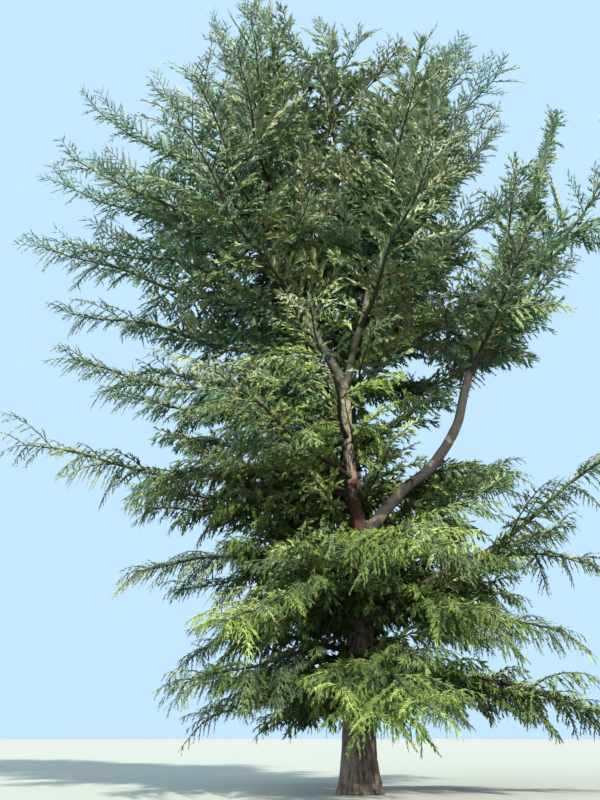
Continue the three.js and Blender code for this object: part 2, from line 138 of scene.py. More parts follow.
# Tiers of boughs: their stem, the height of their feet, their count, the first one's turn from east and
# the sweep in degrees, then reach and rise towards east, north, west and south, bow, bare share, and their
# twigs' length and hang
Tier = namedtuple("Tier", "name stem height count turn sweep reaches rises bow wood spread hang")
TIERS = [
    Tier("skirt", "trunk", 3.6, 5, -4, 360,
         (9.2, 8.2, 5.8, 6.3), (-1.7, -1.5, -1.2, -1.3), 0.15, 0, 3, 0.4),
    Tier("low", "trunk", 5.1, 4, -32, 360,
         (6.2, 8.4, 5.5, 6.7), (-0.7, -0.9, -0.8, -1.5), 0.35, 0, 3.1, 0.35),
    Tier("rising", "trunk", 4.3, 1, 2, 0,
         (9.8, 0, 0, 0), (6.5, 0, 0, 0), 0, 0.42, 3, 0.3),
    Tier("waist", "trunk", 6.6, 4, 14, 360,
         (7.4, 9.2, 6.4, 7.3), (0.3, 0, -0.4, -1.5), 0.3, 0, 3.2, 0.35),
    Tier("middle", "trunk", 8.7, 4, 30, 218,
         (5.2, 9.6, 11.2, 6.9), (1.7, 1.7, 1.8, 0.7), -0.1, 0.24, 3.2, 0.3),
    Tier("shoulder", "trunk", 10.5, 3, 96, 170,
         (0, 9.3, 9.3, 7), (0, 2.4, 2.3, 1.5), -0.1, 0, 3.1, 0.2),
    Tier("west_flat", "leader_west", 13, 1, 180, 0,
         (0, 0, 9.1, 0), (0, 0, 2, 0), -0.15, 0.3, 2.7, 0.25),
    Tier("west_far", "leader_west", 14.8, 2, 177, 65,
         (0, 6.5, 9.4, 6.2), (0, 3.6, 3, 3), -0.2, 0, 3.1, 0.1),
    Tier("west_high", "leader_west", 17.2, 2, 172, 80,
         (0, 5.5, 8.3, 5), (0, 4.2, 3.9, 2.7), -0.3, 0, 2.9, 0),
    Tier("west_shoulder", "leader_west", 19.3, 2, 180, 78,
         (0, 5, 6.6, 4.2), (0, 4.3, 4.7, 2.5), -0.35, 0, 2.6, -0.1),
    Tier("west_top", "leader_west", 21.8, 2, 168, 90,
         (0, 3.4, 3.1, 3), (0, 3.4, 3.7, 2.5), -0.2, 0, 2.2, -0.2),
    Tier("west_crest", "leader_west", 24, 1, 190, 0,
         (0, 0, 2.2, 2.2), (0, 0, 2.5, 2.5), -0.2, 0, 1.75, -0.2),
    Tier("west_tip", "leader_west", 25.4, 1, 160, 0,
         (0.25,) * 4, (2.4,) * 4, 0, 0, 1.55, -0.3),
    Tier("east_low", "leader_east", 14.3, 2, -72, 62,
         (5.2, 0, 0, 6.2), (4, 0, 0, 3), -0.2, 0, 2.9, 0),
    Tier("east_mid", "leader_east", 17.2, 2, -80, 85,
         (4.3, 4.3, 0, 4.8), (4.1, 4.1, 0, 3.2), -0.25, 0, 2.6, -0.1),
    Tier("east_high", "leader_east", 20, 1, -22, 0,
         (4.3, 0, 0, 3.6), (3.2, 0, 0, 2.5), -0.2, 0, 2.2, -0.2),
    Tier("east_top", "leader_east", 22.4, 1, 8, 0,
         (2.4, 2.4, 0, 0), (3, 3, 0, 0), -0.15, 0, 1.9, -0.2),
    Tier("east_tip", "leader_east", 24.3, 1, 0, 0,
         (0.38,) * 4, (1.5,) * 4, 0, 0, 1.45, -0.3),
    Tier("north_low", "leader_north", 12.4, 2, 38, 84,
         (7, 7.9, 7.5, 0), (3.4, 3.2, 3.2, 0), -0.15, 0, 3.1, 0.1),
    Tier("north_mid", "leader_north", 17, 1, 98, 0,
         (6.4, 6.4, 6.4, 0), (4, 3.9, 3.9, 0), -0.2, 0, 3.2, 0),
    Tier("north_high", "leader_north", 21, 1, 85, 0,
         (3.9, 4, 4, 0), (3.6, 3.6, 3.6, 0), -0.2, 0, 2.2, -0.1),
    Tier("north_tip", "leader_north", 25.3, 1, 90, 0,
         (0.15,) * 4, (2.3,) * 4, 0, 0, 1.75, -0.3),
    Tier("limb_side", "limb_east_upper", 12.7, 2, -64, 134,
         (3.7, 4.4, 0, 3.5), (3.6, 3, 0, 3.5), -0.15, 0, 2.6, 0.1),
    Tier("limb_comb", "limb_east_upper", 13.7, 1, -6, 0,
         (2.7, 0, 0, 2.7), (7.9, 0, 0, 7.9), -0.1, 0, 1.9, -0.1),
    Tier("limb_tip", "limb_east_upper", 14.6, 1, 6, 0,
         (4.7, 4.7, 0, 0), (6.9, 6.9, 0, 0), -0.3, 0, 2.9, 0),
]
TIPS = ("west_tip", "east_tip", "north_tip", "limb_tip")  # boughs that go on from their stem's end

# Parts of the crown, each joined into one piece of a kind: its tiers, then the stretch of a stem whose
# lesser boughs it takes in, the least reach of these at its two ends, the gap from one to the next, and by
# how many degrees they lean towards the crown's wide sides
CROWN = {
    "skirt": (["skirt"], "trunk", 2.8, 4.4, 3.6, 3.6, 0.11, -18),
    "low": (["low", "rising"], "trunk", 4.4, 5.9, 3.6, 3.6, 0.11, 6),
    "waist": (["waist"], "trunk", 5.9, 7.7, 3.6, 3.6, 0.18, 20),
    "middle": (["middle"], "trunk", 7.7, 9.6, 3.8, 3.8, 0.17, 20),
    "shoulder": (["shoulder", "west_flat"], "trunk", 9.6, 11.8, 3.8, 3.8, 0.24, 20),
    "west": (["west_far", "west_high"], "leader_west", 12.6, 18.4, 2.9, 2.4, 0.22, 20),
    "west_top": (["west_shoulder", "west_top", "west_crest", "west_tip"],
                 "leader_west", 18.4, 24.6, 1.8, 1, 0.3, -10),
    "east": (["east_low", "east_mid", "east_high", "east_top", "east_tip"],
             "leader_east", 12.4, 23.4, 3, 1.2, 0.23, 20),
    "north_low": (["north_low"], "leader_north", 6, 15, 3, 3, 0.29, 10),
    "north": (["north_mid", "north_high", "north_tip"], "leader_north", 15, 25.2, 2.4, 1.7, 0.3, 10),
    "limb": (["limb_side", "limb_comb", "limb_tip"], "limb_east_upper", 12.3, 14.6, 2.4, 2.4, 0.13, 20),
}
# Share of a bough from which short sprays cover it: in one tier, and in all others
LEAFY_FROM = {"rising": 0.42}
LEAFY_FOOT = 0.06
# Lesser boughs, between the tiers': degrees from one to the next, and how far they stray; their reach,
# thickness and twigs as shares of the tiers'; their rise as a share of their reach where there is no tier
# to follow; and their bow and the most of their twigs, as shares of their length
LESSER = Form(turn=137.5, turn_by=15, reach=(0.42, 0.95), thick=0.6, spread=0.8, steep=0.6,
              bow=0.02, spread_most=0.6)
# Stretches of the stems with no lesser boughs on one side, between two heights and within some degrees of
# a turn: before the fork and the cranked limb, behind that limb, and on its side towards the crown
BARE = (
    (("trunk",), 5.8, 7, -62, 68),
    (("trunk",), 7, 12, -62, 96),
    (("leader_west", "leader_east"), 12, 15.4, -74, 72),
    (("leader_north", "trunk"), 8.6, 12.6, 22, 40),
    (("limb_east_upper",), 12, 15, -135, 60),
)
# How far the boughs of a tier stand above and below it by turns, and how far they stray
STAGGER = Form(height=0.26, height_by=0.06, turn_by=5, reach_by=0.05)
# Boughs of the solids: radius at the root, what each metre of length adds, radius at the tip, and how full
BOUGH = Form(radius=0.026, taper=0.0088, tip=0.007, fullness=0.8)
SLIMMER = 0.8  # a bough's bark, as a share of the solid's thickness
# How far a bough sways, as a share of its length, and its half waves up and down and from side to side
SWAY = Form(share=0.018, up=3.1, aside=2.3)
# The solids' own twigs: metres from one to the next, their fewest and most on a bough, the shares of it
# where they start and end, their angle to it at its root and at its tip in degrees, their slope and hang
TWIG_PITCH = 1.25
TWIG_FEWEST = 4
TWIG_MOST = 6
TWIG_FIRST = 0.22
TWIG_LAST = 0.9
TWIG_ANGLE = (66, 38)
TWIG_SLOPE = 0.5
TWIG_HANG = 0.6
LOWEST = 0.9  # how near the ground twigs may hang

UP = np.array([0.0, 0.0, 1.0])
AHEAD = 0.01  # share of a bough or twig over which its direction is taken
TWO_PI = 2 * math.pi


def paint(red, green, blue):
    """A colour given as eight-bit values, in the linear values that shaders take."""
    shares = (red / 255, green / 255, blue / 255)
    return tuple(((c + 0.055) / 1.055) ** 2.4 if c > 0.04045 else c / 12.92 for c in shares)


def length_of(name, description, default):
    """A length that a user can change."""
    return FloatProperty(name=name, description=description, default=default, min=0.0001, unit="LENGTH")


def colour_of(name, description, default):
    """A colour that a user can change."""
    return FloatVectorProperty(
        name=name, description=description, default=default, subtype="COLOR", min=0, max=1)


class CedarSizes(bpy.types.PropertyGroup):
    """Sizes of the tree's fine growth and bark."""

    furrow: length_of("Bark furrows", "Depth of the furrows in the trunk's bark", 0.028)
    twig_gap: length_of("Twig gap", "Distance along a bough from one twig to the next", 0.25)
    side_gap: length_of("Side twig gap", "Distance along a twig from one side twig to the next", 0.135)
    spray_gap: length_of("Spray gap", "Distance along a bough from one short spray to the next", 0.34)
    coat_gap: length_of("Coat gap", "Distance along a bough from one shoot of its own to the next", 0.075)
    needle: length_of("Needle length", "How far the longest needles stand out of their twig", 0.12)
    needle_foot: length_of("Needle foot", "How much of its twig a needle takes up", 0.087)
    needle_gap: length_of("Needle gap", "Distance along a twig from one needle to the next", 0.0365)


class CedarColours(bpy.types.PropertyGroup):
    """Colours of the bark, the needles and the stage."""

    bark_furrow: colour_of("Bark furrows", "Dark bark down in the furrows", paint(44, 36, 30))
    bark_ridge: colour_of("Bark ridges", "Grey-brown bark on the ridges", paint(100, 88, 76))
    bark_pale: colour_of("Pale bark", "Pale bark of the fork and the leaders", paint(114, 104, 90))
    # Limb bark: its own grey, made darker as painted shade, the shade that the crown casts on the cranked
    # limb
    bark_limb: colour_of("Limb bark", "Grey bark of the cranked limb", paint(54, 52, 51))
    bark_red: colour_of("Red bark", "Reddish bark of the trunk's middle", paint(74, 42, 36))
    bough: colour_of("Bough bark", "Dark ridges of the boughs' bark", paint(47, 47, 41))
    twig: colour_of("Twigs", "Dark bark of the twigs", paint(46, 47, 38))
    # Needle colours, from deep to light: partly older and newer growth, partly painted light and shade, the
    # deep ones as painted shade in the heart of the crown, the pale and light ones as painted light on
    # upper sides and outer sprays
    needle_0: colour_of("Deepest needles", "Needles in the heart of the crown", paint(43, 54, 42))
    needle_1: colour_of("Deep needles", "Needles of the inner sprays", paint(58, 72, 53))
    # Hanging needles: a dark blue-green, as painted shade on the hanging sprays
    needle_2: colour_of("Hanging needles", "Needles of hanging shoots", paint(75, 92, 68))
    needle_3: colour_of("Dark needles", "Dark green needles", paint(90, 104, 71))
    needle_4: colour_of("Green needles", "Middle green needles", paint(109, 122, 85))
    needle_5: colour_of("Pale needles", "Pale needles of the upper sides", paint(126, 139, 113))
    needle_6: colour_of("Light needles", "Light needles of the outer sprays", paint(132, 144, 124))
    needle_7: colour_of("Lightest needles", "Needles of the newest shoots", paint(133, 144, 132))
    # Tints, partly painted light and shade: the low and middle ones turn needle colours olive, as painted
    # sunlight, the high one turns them bluer, as painted shade at the top and sides
    tint_0: colour_of("Low tint", "Share kept of needle colours in the lowest tiers", (0.98, 1, 0.44))
    tint_1: colour_of("Middle tint", "Share kept of needle colours in the crown's heart", (1, 0.96, 0.74))
    tint_2: colour_of("High tint", "Share kept of needle colours at the top and outside", (0.8, 1, 1))
    floor: colour_of("Floor", "Plain pale floor", paint(140, 142, 134))
    backdrop: colour_of("Backdrop", "Plain pale backdrop, and soft light all round", paint(188, 222, 248))


# Chance and noise

WORD = np.uint64(0xFFFFFFFF)
MIXERS = [np.uint64(n) for n in (0x9E3779B1, 0x85EBCA6B, 0xC2B2AE35)]  # odd numbers that mix a word's bits
GRID_STEPS = [np.uint64(n) for n in (73856093, 19349663, 83492791)]  # and that tell a grid's corners apart


def seed_of(parent, kind, number):
    """The seed of the growth of a kind with a number, from its parent's seed."""
    start, step = SEEDS[kind]
    return parent + start + step * number


def chance(seed, index):
    """Numbers from 0 to 1 that depend only on a seed and an index, either of which may be an array."""
    seed, index = np.broadcast_arrays(np.atleast_1d(seed), np.atleast_1d(index))
    turned = ((index.astype(np.uint64) + np.uint64(1)) * MIXERS[0]) & WORD
    h = ((seed.astype(np.uint64) ^ turned) * MIXERS[1]) & WORD
    h ^= h >> np.uint64(13)
    h = (h * MIXERS[2]) & WORD
    h ^= h >> np.uint64(16)
    return h.astype(float) / 2**32


def between(seed, index, low, high):
    """The same, spread evenly from low to high."""
    return low + (high - low) * chance(seed, index)


def stray(seed, index, by):
    """The same, spread evenly from -by to by."""
    return between(seed, index, -by, by)


def corner_values(cell, seed):
    """A value from -1 to 1 for each corner of a cubic grid."""
    x, y, z = (cell[..., k].astype(np.uint64) * GRID_STEPS[k] for k in range(3))
    return 2 * chance((x ^ y ^ z ^ np.uint64(seed)) & WORD, 3) - 1


def noise(points, seed):
    """Smooth noise from -1 to 1 at points, with one bump a unit."""
    cell = np.floor(points)
    part = points - cell
    part = part * part * (3 - 2 * part)
    cell = cell.astype(np.int64)
    total = np.zeros(len(points))
    for corner in range(8):
        step = np.array([corner & 1, corner >> 1 & 1, corner >> 2 & 1])
        weight = np.prod(np.where(step == 1, part, 1 - part), axis=1)
        total += weight * corner_values(cell + step, seed)
    return total


# Vectors

def lerp(low, high, part):
    """The value that lies a part of the way from low to high."""
    return low + (high - low) * part


def unit(v):
    """Vectors drawn out or in to a length of 1."""
    return v / np.maximum(np.linalg.norm(v, axis=-1, keepdims=True), 1e-9)


def turned_about(v, axis, angle):
    """Vectors turned about unit axes by angles in radians."""
    c = np.cos(angle)[..., None]
    s = np.sin(angle)[..., None]
    along = np.sum(v * axis, axis=-1, keepdims=True)
    return v * c + np.cross(axis, v) * s + axis * along * (1 - c)


def leaning(ahead, out, angle):
    """Directions that lean from one vector towards another across it, by angles in radians."""
    return ahead * np.cos(angle)[:, None] + out * np.sin(angle)[:, None]


# Stems and boughs, as in the solids

ROUTE_SAMPLES = 4001  # points of a stem's middle line among which a height is looked up


def stem_route(name, share):
    """Points of a stem's middle line at shares of its span: a smooth curve through its stations."""
    stations = np.array(STEMS[name], float)[:, :3]
    low, high = SPANS.get(name, (0, 1))
    place = np.clip(lerp(low, high, np.atleast_1d(share).astype(float)), 0, 1) * (len(stations) - 1)
    k = np.minimum(place.astype(int), len(stations) - 2)
    t = (place - k)[:, None]
    ends = np.vstack([2 * stations[0] - stations[1], stations, 2 * stations[-1] - stations[-2]])
    before, start, end, after = (ends[k + i] for i in range(4))
    go_in = (end - before) / 2
    go_out = (after - start) / 2
    square = -3 * start + 3 * end - 2 * go_in - go_out
    cube = 2 * start - 2 * end + go_in + go_out
    return start + go_in * t + square * t**2 + cube * t**3


def stem_radius(name, height):
    """A stem's radius at heights."""
    stations = np.array(STEMS[name], float)
    return np.interp(height, stations[:, 2], stations[:, 3])


def stem_point(name, height):
    """The point of a stem's middle line at a height."""
    shares = np.linspace(0, 1, ROUTE_SAMPLES)
    route = stem_route(name, shares)
    return stem_route(name, np.interp(height, route[:, 2], shares))[0]


def towards(values, azimuth):
    """A value that a tier gives towards east, north, west and south, at an azimuth."""
    east, north, west, south = values
    c, s = math.cos(azimuth), math.sin(azimuth)
    return (east if c > 0 else west) * c * c + (north if s > 0 else south) * s * s


def new_bough(stem, foot, azimuth, reach, rise, **form):
    """A bough that leaves a stem at a height and runs towards an azimuth, by its reach and rise."""
    plain = {"node": None, "wood": 0, "tip": False, "out": 1.0, "leafy": LEAFY_FOOT}
    run = np.array([math.cos(azimuth) * reach, math.sin(azimuth) * reach, rise])
    return Form(**{**plain, "root": stem_point(stem, foot), "run": run, **form})


def tier_boughs(row):
    """The boughs of a tier: where each leaves, how it runs and how its foliage grows."""
    name, stem, height, count, turn, sweep, reaches, rises, bow, wood, spread, hang = TIERS[row]
    tip = name in TIPS
    spacing = sweep / count if sweep == 360 else sweep / max(1, count - 1)
    boughs = []
    for k in range(count):
        seed = seed_of(seed_of(SEED, "tier", row), "bough", k)

        def off(index, by):
            return float(stray(seed, index, by)[0]) if count > 1 else 0

        stagger = 0 if count == 1 else STAGGER.height * (1 if k % 2 else -1)
        foot = height + stagger + off(2, STAGGER.height_by)
        azimuth = math.radians(turn + spacing * k + off(1, STAGGER.turn_by))
        reach = towards(reaches, azimuth) * (1 + off(3, STAGGER.reach_by))
        rise = towards(rises, azimuth)
        length = math.hypot(reach, rise)
        thick = float(stem_radius(stem, foot)) if tip else BOUGH.radius + length * BOUGH.taper
        boughs.append(new_bough(
            stem, foot, azimuth, reach, rise,
            node=f"{name}_{k + 1}" if count > 1 else name,
            seed=seed, length=length, thick=thick, bow=bow, wood=wood, spread=spread, hang=hang, tip=tip,
            leafy=LEAFY_FROM.get(name, LEAFY_FOOT),
        ))
    return boughs


def lesser_boughs(stem, low, high, least_low, least_high, gap, lean):
    """Boughs between the tiers', inside their reach. They turn round the stem as they climb."""
    tiers = [tier for tier in TIERS if tier.stem == stem and tier.name not in TIPS]
    tiers.sort(key=lambda tier: tier.height)
    heights = [tier.height for tier in tiers]

    def at(height, values):
        return float(np.interp(height, heights, values))

    boughs = []
    for k in range(int(low / gap) + 1, int(high / gap) + 1):
        seed = seed_of(seed_of(SEED, "stem", len(stem)), "lesser_bough", k)
        height = gap * k
        turn = LESSER.turn * k + float(stray(seed, 1, LESSER.turn_by)[0])
        turn -= lean * math.sin(2 * math.radians(turn))
        turn = turn % 360 - 180
        if any(stem in stems and bottom < height < top and abs(turn - middle) < within
               for stems, bottom, top, middle, within in BARE):
            continue
        least = lerp(least_low, least_high, (height - low) / (high - low))
        azimuth = math.radians(turn)
        share = float(between(seed, 2, *LESSER.reach)[0])
        full = at(height, [towards(tier.reaches, azimuth) for tier in tiers])
        reach = max(least, share * full)
        rise = at(height, [towards(tier.rises, azimuth) for tier in tiers]) * reach / max(full, least)
        if full < least:
            rise = LESSER.steep * reach
        length = math.hypot(reach, rise)
        spread = LESSER.spread * at(height, [tier.spread for tier in tiers])
        boughs.append(new_bough(
            stem, height, azimuth, reach, rise,
            seed=seed, length=length,
            thick=BOUGH.radius * LESSER.thick + length * BOUGH.taper,
            bow=LESSER.bow * length,
            spread=min(spread, LESSER.spread_most * length),
            hang=at(height, [tier.hang for tier in tiers]),
            out=share,
        ))
    return boughs


def crown_boughs():
    """The boughs of each part of the crown."""
    row_of = {tier.name: row for row, tier in enumerate(TIERS)}
    crown = {}
    for part, (names, *stretch) in CROWN.items():
        crown[part] = [bough for name in names for bough in tier_boughs(row_of[name])]
        crown[part] += lesser_boughs(*stretch)
    return crown


def bough_point(bough, t):
    """Points of a bough's middle line, with its root at 0 and its tip at 1. It sways a little."""
    t = np.atleast_1d(t).astype(float)
    turn = TWO_PI * chance(bough.seed, np.array([31, 32]))
    sway = SWAY.share * bough.length * np.sin(math.pi * t)
    lift = bough.bow * 4 * t * (1 - t) + sway * np.sin(SWAY.up * math.pi * t + turn[0])
    aside = unit(np.cross(UP, bough.run))
    return (bough.root + np.outer(t, bough.run) + np.outer(lift, UP)
            + np.outer(sway * np.sin(SWAY.aside * math.pi * t + turn[1]), aside))


def bough_radius(bough, t):
    """A bough's radius at shares of its length."""
    return SLIMMER * bough.thick * np.clip(1 - t, 0, 1) ** BOUGH.fullness + BOUGH.tip


# Meshes from arrays

NEARLY_EAST = 0.8  # a line's eastward part from which its first crosswise vector is north, not east
TIP_LENGTH = 0.6  # a barked stem's pointed end, as a share of its last radius


def make_piece(name, verts, faces, materials, tones=None, smooth=True):
    """A mesh object from an array of points and rows of faces with as many corners each."""
    corners = faces.shape[1]
    mesh = bpy.data.meshes.new(name)
    mesh.vertices.add(len(verts))
    mesh.vertices.foreach_set("co", verts.astype(np.float32).ravel())
    mesh.loops.add(faces.size)
    mesh.loops.foreach_set("vertex_index", faces.astype(np.int32).ravel())
    mesh.polygons.add(len(faces))
    mesh.polygons.foreach_set("loop_start", np.arange(0, faces.size, corners, dtype=np.int32))
    mesh.polygons.foreach_set("use_smooth", np.full(len(faces), smooth))
    if tones is not None:
        mesh.polygons.foreach_set("material_index", tones.astype(np.int32))
    mesh.update(calc_edges=True)
    for material in materials:
        mesh.materials.append(material)
    piece = bpy.data.objects.new(name, mesh)
    bpy.context.scene.collection.objects.link(piece)
    return piece


def settle(piece, nodes):
    """Puts a piece on the tree's body, in place of its solids."""
    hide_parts(*nodes)
    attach(piece, "root")


def tube_faces(count, rings, sides):
    """Triangles of many tubes with pointed ends: each has its rings in order, then its tip."""
    ring = np.arange(rings - 1)[:, None] * sides
    side = np.arange(sides)[None, :]
    after = (side + 1) % sides
    a, b = ring + side, ring + after
    wall = np.stack([a, b, b + sides, a, b + sides, a + sides], axis=-1).reshape(-1, 3)
    last = (rings - 1) * sides
    point = np.stack([last + side[0], last + after[0], np.full(sides, rings * sides)], axis=-1)
    one = np.vstack([wall, point])
    return (np.arange(count)[:, None, None] * (rings * sides + 1) + one).reshape(-1, 3)


def tubes(points, radii, across, sides):
    """Points of many tubes: middle lines (tube, ring or tip, xyz), radii (tube, ring), vectors across."""
    along = unit(points[:, -1] - points[:, 0])
    across = unit(across - along * np.sum(across * along, axis=-1, keepdims=True))
    aside = np.cross(along, across)
    angle = np.arange(sides) * TWO_PI / sides
    rim = np.cos(angle)[:, None] * across[:, None, :] + np.sin(angle)[:, None] * aside[:, None, :]
    walls = points[:, :-1, None, :] + rim[:, None] * radii[:, :, None, None]
    return np.concatenate([walls.reshape(len(points), -1, 3), points[:, -1:]], axis=1).reshape(-1, 3)


def ring_frames(points):
    """Crosswise vectors along one middle line, without a twist from one ring to the next."""
    along = unit(np.gradient(points, axis=0))
    if points[0, 2] == 0:
        along[0] = UP
    across = np.array([1.0, 0, 0]) if abs(along[0, 0]) < NEARLY_EAST else np.array([0, 1.0, 0])
    rows = []
    for direction in along:
        across = unit(across - direction * np.dot(across, direction))
        rows.append(across)
    across = np.array(rows)
    return across, np.cross(across, along)


def bark_tube(points, radii, sides, furrow, seed, flare=None):
    """One barked stem, with ridges and furrows that run along it."""
    rings = len(points)
    across, aside = ring_frames(points)
    angle = np.arange(sides) * TWO_PI / sides
    out = np.cos(angle)[None, :, None] * across[:, None] + np.sin(angle)[None, :, None] * aside[:, None]
    radius = np.repeat(radii[:, None], sides, axis=1)
    if flare is not None:
        radius = radius * flare(points[:, 2][:, None], angle[None, :])
    run = np.concatenate([[0], np.cumsum(np.linalg.norm(np.diff(points, axis=0), axis=1))])
    flat = np.dstack([
        np.cos(angle)[None, :] * radii[:, None],
        np.sin(angle)[None, :] * radii[:, None],
        np.repeat(run[:, None], sides, axis=1),
    ]).reshape(-1, 3)
    radius = radius + bark_relief(flat, furrow, seed).reshape(rings, sides)
    walls = (points[:, None] + out * radius[..., None]).reshape(-1, 3)
    tip = points[-1] + unit(points[-1] - points[-2]) * radii[-1] * TIP_LENGTH
    faces = tube_faces(1, rings, sides)
    if flare is None:
        return np.vstack([walls, tip]), faces
    rim = np.arange(sides)
    cut = np.stack([(rim + 1) % sides, rim, np.full(sides, len(walls) + 1)], axis=-1)
    return np.vstack([walls, tip, points[0]]), np.vstack([faces, cut])


# Bark's relief: the furrows' pitch as a share of their depth, and in pitches how long they run, how far and
# in what length they wander, how wide and long the plates between them are, and how large the lumps are;
# then the furrows' width and sharpness, how far plain bark stands out, and how far plates and lumps do
RELIEF = Form(pitch=4.2, run=5, wander=0.5, wander_pitch=3, wander_run=0.8, plate=0.55,
              plate_run=1.1, lump=5, width=0.28, sharp=1.4, stand=0.35, plates=0.22, lumps=0.5)


def bark_relief(places, furrow, seed):
    """How far bark stands out at places on an unrolled stem: long furrows, with plates between them."""
    form = RELIEF
    pitch = furrow * form.pitch
    wander = noise(places * np.array([1, 1, form.wander_run]) / (pitch * form.wander_pitch), seed + 1)
    wander = wander[:, None] * np.array([form.wander, form.wander, 0])
    long = noise(places / np.array([pitch, pitch, pitch * form.run]) + wander, seed)
    plate = pitch * form.plate
    plates = noise(places / np.array([plate, plate, pitch * form.plate_run]) + wander, seed + 2)
    lumps = noise(places / (pitch * form.lump), seed + 3)
    deep = np.clip(1 - np.abs(long) / form.width, 0, 1) ** form.sharp
    return furrow * (form.stand - deep + form.plates * plates + form.lumps * lumps)


# Bark of the stems

BARK_CHANGES = (6.3, 9.6)  # heights where the trunk's bark turns reddish, then pale
BARK_WANDER = ((0.7, (4, 4, 4)), (0.5, (3, 3, 0.7)))  # how far those stray, and in how many bumps a metre
STEM_FOOT = Form(swell=0.35, length=0.35)  # how much a stem swells where it leaves another
LENGTH_SAMPLES = 200  # points of a stem's middle line by which its length is measured
# Each stem's sides, the distance from ring to ring, and its share of the furrows' depth
STEM_FORM = {
    "trunk": (96, 0.068, 1.0),
    "leader_west": (24, 0.09, 0.3),
    "leader_east": (24, 0.09, 0.3),
    "leader_north": (20, 0.15, 0.35),
    "limb_east_lower": (34, 0.055, 0.4),
    "limb_east_upper": (30, 0.055, 0.35),
}


def trunk_flare(height, angle):
    """The root flare: the trunk swells towards the ground, in ridges that run into the roots."""
    near = np.exp(-height / FLARE.fall)
    return 1 + near * (FLARE.swell + FLARE.depth * np.cos(FLARE.ridges * angle + FLARE.turn))


def stem_bark(name, sizes):
    """A stem's bark from foot to end. Its foot swells where it leaves another stem."""
    sides, step, share = STEM_FORM[name]
    rough = stem_route(name, np.linspace(0, 1, LENGTH_SAMPLES))
    length = np.linalg.norm(np.diff(rough, axis=0), axis=1).sum()
    points = stem_route(name, np.linspace(0, 1, int(length / step)))
    radii = stem_radius(name, points[:, 2])
    if name == "trunk":
        return bark_tube(points, radii, sides, sizes.furrow * share, SEED, trunk_flare)
    run = np.linspace(0, length, len(points))
    if name != "limb_east_upper":
        radii = radii * (1 + STEM_FOOT.swell * np.exp(-run / STEM_FOOT.length))
    return bark_tube(points, radii, sides, sizes.furrow * share, SEED + len(name))


def bark_tones(verts, faces):
    """Which bark each face of the trunk wears: grey-brown at its foot, then reddish, then pale."""
    place = verts[faces].mean(axis=1)
    height = place[:, 2]
    for k, (by, bumps) in enumerate(BARK_WANDER):
        height = height + by * noise(place * np.array(bumps), NOISE.bark + k)
    return np.digitize(height, BARK_CHANGES)


# Bark of the boughs

# Sides and the distance from ring to ring, of the tiers' boughs and of the lesser ones
BOUGH_FORM = {"tier": (8, 0.2), "lesser": (6, 0.3)}
BOUGH_RINGS = 10  # at least
BOUGH_END = 0.99  # share of a bough at which its last ring stands
BOUGH_FOOT = Form(swell=0.6, length=0.2)
BOUGH_FURROWS = 0.22  # share of the trunk's furrows' depth
WOBBLE = Form(by=0.35, bumps=0.9)  # how far a bough wobbles in its own thicknesses, and its bumps a metre


def bough_bark(bough, sizes):
    """A bough's bark from its root to its tip, with a collar at its root."""
    sides, step = BOUGH_FORM["tier" if bough.node else "lesser"]
    t = np.linspace(0, BOUGH_END, max(BOUGH_RINGS, int(bough.length / step)))
    run = t * bough.length
    wobble = WOBBLE.by * bough.thick * np.sin(np.pi * t)
    points = bough_point(bough, t) + np.stack([
        noise(np.outer(run, WOBBLE.bumps * axis) + bough.seed, NOISE.wobble + k) * wobble
        for k, axis in enumerate(np.eye(3))
    ], axis=-1)
    collar = 1 if bough.tip else 1 + BOUGH_FOOT.swell * np.exp(-run / BOUGH_FOOT.length)
    furrow = sizes.furrow * BOUGH_FURROWS
    return bark_tube(points, bough_radius(bough, t) * collar, sides, furrow, bough.seed)


# Where growth may reach

# The camera's place, its pitch up and its turn to the left in degrees, and its lens in millimetres
CAMERA = Form(place=(0, -26.455, 1.6), pitch=20.658, yaw=3.567, lens=39.6, sensor=36, far=1000)
REACH_SLACK = 0.004  # how far growth may pass the solids' box, as a share of the box
SHORTENED_BY = 0.05  # steps in which twigs are shortened, down to a fifth
# Stretches of stems that stand clear of foliage to the south, between two heights; the gap's width past
# their bark; and how far north the gap starts
CLEAR_STEMS = (
    ("trunk", 3.85, 4.65),
    ("trunk", 7.3, 12.1),
    ("leader_west", 12, 14.2),
    ("leader_east", 12, 15.4),
    ("limb_east_lower", 7.6, 13.4),
)
CLEAR_BY = 0.09
CLEAR_FROM = -0.25


def before_stems(points):
    """Which points hang before the clear stretches of the stems, as seen from the camera's place."""
    _, eye, eye_height = CAMERA.place
    nearer = eye / (eye - points[:, 1])
    height = eye_height + (points[:, 2] - eye_height) * nearer
    inside = np.zeros(len(points), bool)
    for name, low, high in CLEAR_STEMS:
        east, _, up, radius = np.array(STEMS[name]).T
        aside = np.abs(points[:, 0] * nearer - np.interp(height, up, east))
        inside |= (low < height) & (height < high) & (aside < CLEAR_BY + np.interp(height, up, radius))
    return inside & (points[:, 1] < CLEAR_FROM)


def out_of_reach(points):
    """Which points stand out of the solids' box, hang too near the ground, or hang before the stems."""
    low, high = np.array(cad_box[0]), np.array(cad_box[1])
    slack = REACH_SLACK * (high - low)
    outside = np.any((points < low - slack) | (points > high + slack), axis=1)
    return outside | (points[:, 2] < LOWEST) | before_stems(points)


def along_twig(twigs, s):
    """Points at shares s of twigs that arch over a straight line from root to tip."""
    rise = (twigs["arch"] * twigs["length"] * 4 * s * (1 - s))[:, None] * UP
    return twigs["root"] + twigs["heading"] * (twigs["length"] * s)[:, None] + rise


def picked(twigs, rows):
    """Some of the twigs."""
    return {key: value[rows] for key, value in twigs.items()}


